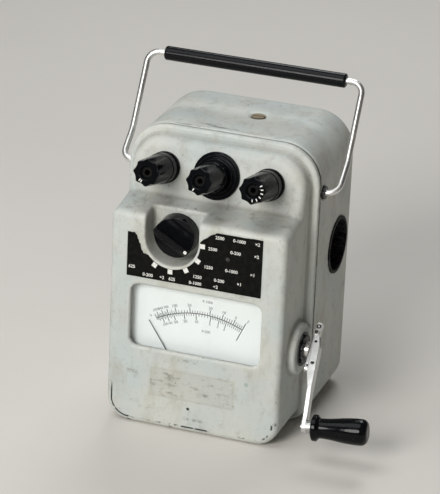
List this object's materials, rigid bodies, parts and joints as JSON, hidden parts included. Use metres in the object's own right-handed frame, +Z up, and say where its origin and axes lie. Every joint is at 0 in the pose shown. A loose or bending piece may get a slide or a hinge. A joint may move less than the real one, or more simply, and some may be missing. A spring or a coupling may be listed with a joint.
{
  "type": "hand-cranked insulation tester",
  "caption": "Hand-cranked insulation tester in a cast grey case with a meter window, range knob, screw terminals, swinging carrying handle and a folding crank that stows in a cup.",
  "frame": {"origin": "on the base, under the middle of the case from side to side and near the middle of its depth", "axes": "+Z up, +X to the right seen from the front, where the crank is, +Y towards the back"},
  "size_m": [0.2297, 0.1647, 0.2628],
  "materials": {
    "case_paint": "worn semi-gloss",
    "bakelite": "polished",
    "cup_black": "satin",
    "seal_rubber": "matte",
    "nickel": "worn nickel",
    "steel": "plain",
    "brass": "dull",
    "copper": "varnished winding",
    "iron": "dark",
    "glass": "clear",
    "dial_white": "matte",
    "plate_black": "satin",
    "board": "laminate"
  },
  "bodies": {
    "case": {"rear_case": "case_paint", "front_cover": "case_paint", "case_gasket": "seal_rubber", "case_screws": "steel", "top_screw": "brass", "window_glass": "glass", "window_seal": "seal_rubber", "range_plate": "plate_black", "plate_rivet": "steel", "stowage_cup": "cup_black", "handle_bushes": "bakelite", "crank_bearing": "brass", "crank_washer": "bakelite", "chassis_plate": "steel", "chassis_screws": "steel", "gear_plate": "steel", "end_plate": "steel", "frame_pillars": "steel", "stator": "iron", "stator_windings": "copper", "idler_stud": "steel", "dial_plate": "dial_white", "dial_screws": "steel", "meter_magnet": "iron", "meter_screws": "steel", "meter_core": "iron", "front_bridge": "brass", "rear_bridge": "brass", "switch_body": "board", "terminal_collars": "bakelite", "guard_collar": "bakelite", "terminal_studs": "brass", "terminal_nuts": "brass", "resistor_board": "board", "resistors": "bakelite"},
    "handle": {"handle_rod": "nickel", "handle_grip": "bakelite"},
    "crank": {"crank_shaft": "nickel", "crank_collar": "nickel", "crank_lever": "nickel", "crank_gear": "brass"},
    "arm": {"fold_pin": "nickel", "crank_arm": "nickel", "grip_spindle": "nickel"},
    "grip": {"crank_grip": "bakelite"},
    "idler": {"idler_gear": "brass"},
    "generator_rotor": {"rotor": "iron", "rotor_shaft": "steel", "rotor_pinion": "steel"},
    "knob": {"range_knob": "bakelite", "switch_shaft": "steel"},
    "needle": {"meter_needle": "plate_black", "moving_coil": "copper"},
    "left_clamp": {"left_washer": "brass"},
    "left_cap": {"left_terminal": "bakelite"},
    "middle_clamp": {"middle_washer": "brass"},
    "middle_cap": {"middle_terminal": "bakelite"},
    "right_clamp": {"right_washer": "brass"},
    "right_cap": {"right_terminal": "bakelite"}
  },
  "joints": [
    {"name": "handle_swing", "type": "hinge", "parent": "case", "child": "handle", "pos_m": [0, -0.0085, 0.1863], "axis": [1, 0, 0], "range_deg": [-22, 155]},
    {"name": "crank_spin", "type": "hinge", "parent": "case", "child": "crank", "pos_m": [0.07, -0.039, 0.0708], "axis": [1, 0, 0], "continuous": true},
    {"name": "arm_fold", "type": "hinge", "parent": "crank", "child": "arm", "pos_m": [0.083, -0.0288, 0.07979], "axis": [0, -0.6613, 0.7501], "range_deg": [-5.5, 174.5]},
    {"name": "grip_spin", "type": "hinge", "parent": "arm", "child": "grip", "pos_m": [0.09009, -0.08141, 0.02808], "axis": [0.9954, 0.0719, 0.0634], "continuous": true},
    {"name": "idler_spin", "type": "hinge", "parent": "case", "child": "idler", "pos_m": [0.058, -0.01064, 0.0658], "axis": [1, 0, 0], "continuous": true},
    {"name": "rotor_spin", "type": "hinge", "parent": "case", "child": "generator_rotor", "pos_m": [0, 0.01773, 0.0608], "axis": [1, 0, 0], "continuous": true},
    {"name": "range_knob_turn", "type": "hinge", "parent": "case", "child": "knob", "pos_m": [-0.0206, -0.065, 0.15443], "axis": [0, -1, 0], "range_deg": [-90, 60]},
    {"name": "needle_swing", "type": "hinge", "parent": "case", "child": "needle", "pos_m": [0.003, -0.0639, 0.0192], "axis": [0, 1, 0], "range_deg": [0, 58]},
    {"name": "left_clamp_slide", "type": "slide", "parent": "case", "child": "left_clamp", "axis": [0, -0.9724, 0.2334], "range_m": [0, 0.003]},
    {"name": "left_cap_turn", "type": "hinge", "parent": "left_clamp", "child": "left_cap", "pos_m": [-0.0412, -0.05545, 0.20112], "axis": [0, -0.9724, 0.2334], "range_deg": [0, 1080]},
    {"name": "middle_clamp_slide", "type": "slide", "parent": "case", "child": "middle_clamp", "axis": [0, -0.9724, 0.2334], "range_m": [0, 0.003]},
    {"name": "middle_cap_turn", "type": "hinge", "parent": "middle_clamp", "child": "middle_cap", "pos_m": [0, -0.05545, 0.20112], "axis": [0, -0.9724, 0.2334], "range_deg": [0, 1080]},
    {"name": "right_clamp_slide", "type": "slide", "parent": "case", "child": "right_clamp", "axis": [0, -0.9724, 0.2334], "range_m": [0, 0.003]},
    {"name": "right_cap_turn", "type": "hinge", "parent": "right_clamp", "child": "right_cap", "pos_m": [0.0412, -0.05545, 0.20112], "axis": [0, -0.9724, 0.2334], "range_deg": [0, 1080]}
  ],
  "couplings": [
    {"joint": "idler_spin", "follows": "crank_spin", "ratio": -3},
    {"joint": "rotor_spin", "follows": "crank_spin", "ratio": 9},
    {"joint": "left_cap_turn", "follows": "left_clamp_slide", "rad_per_m": 6283.2},
    {"joint": "middle_cap_turn", "follows": "middle_clamp_slide", "rad_per_m": 6283.2},
    {"joint": "right_cap_turn", "follows": "right_clamp_slide", "rad_per_m": 6283.2}
  ]
}
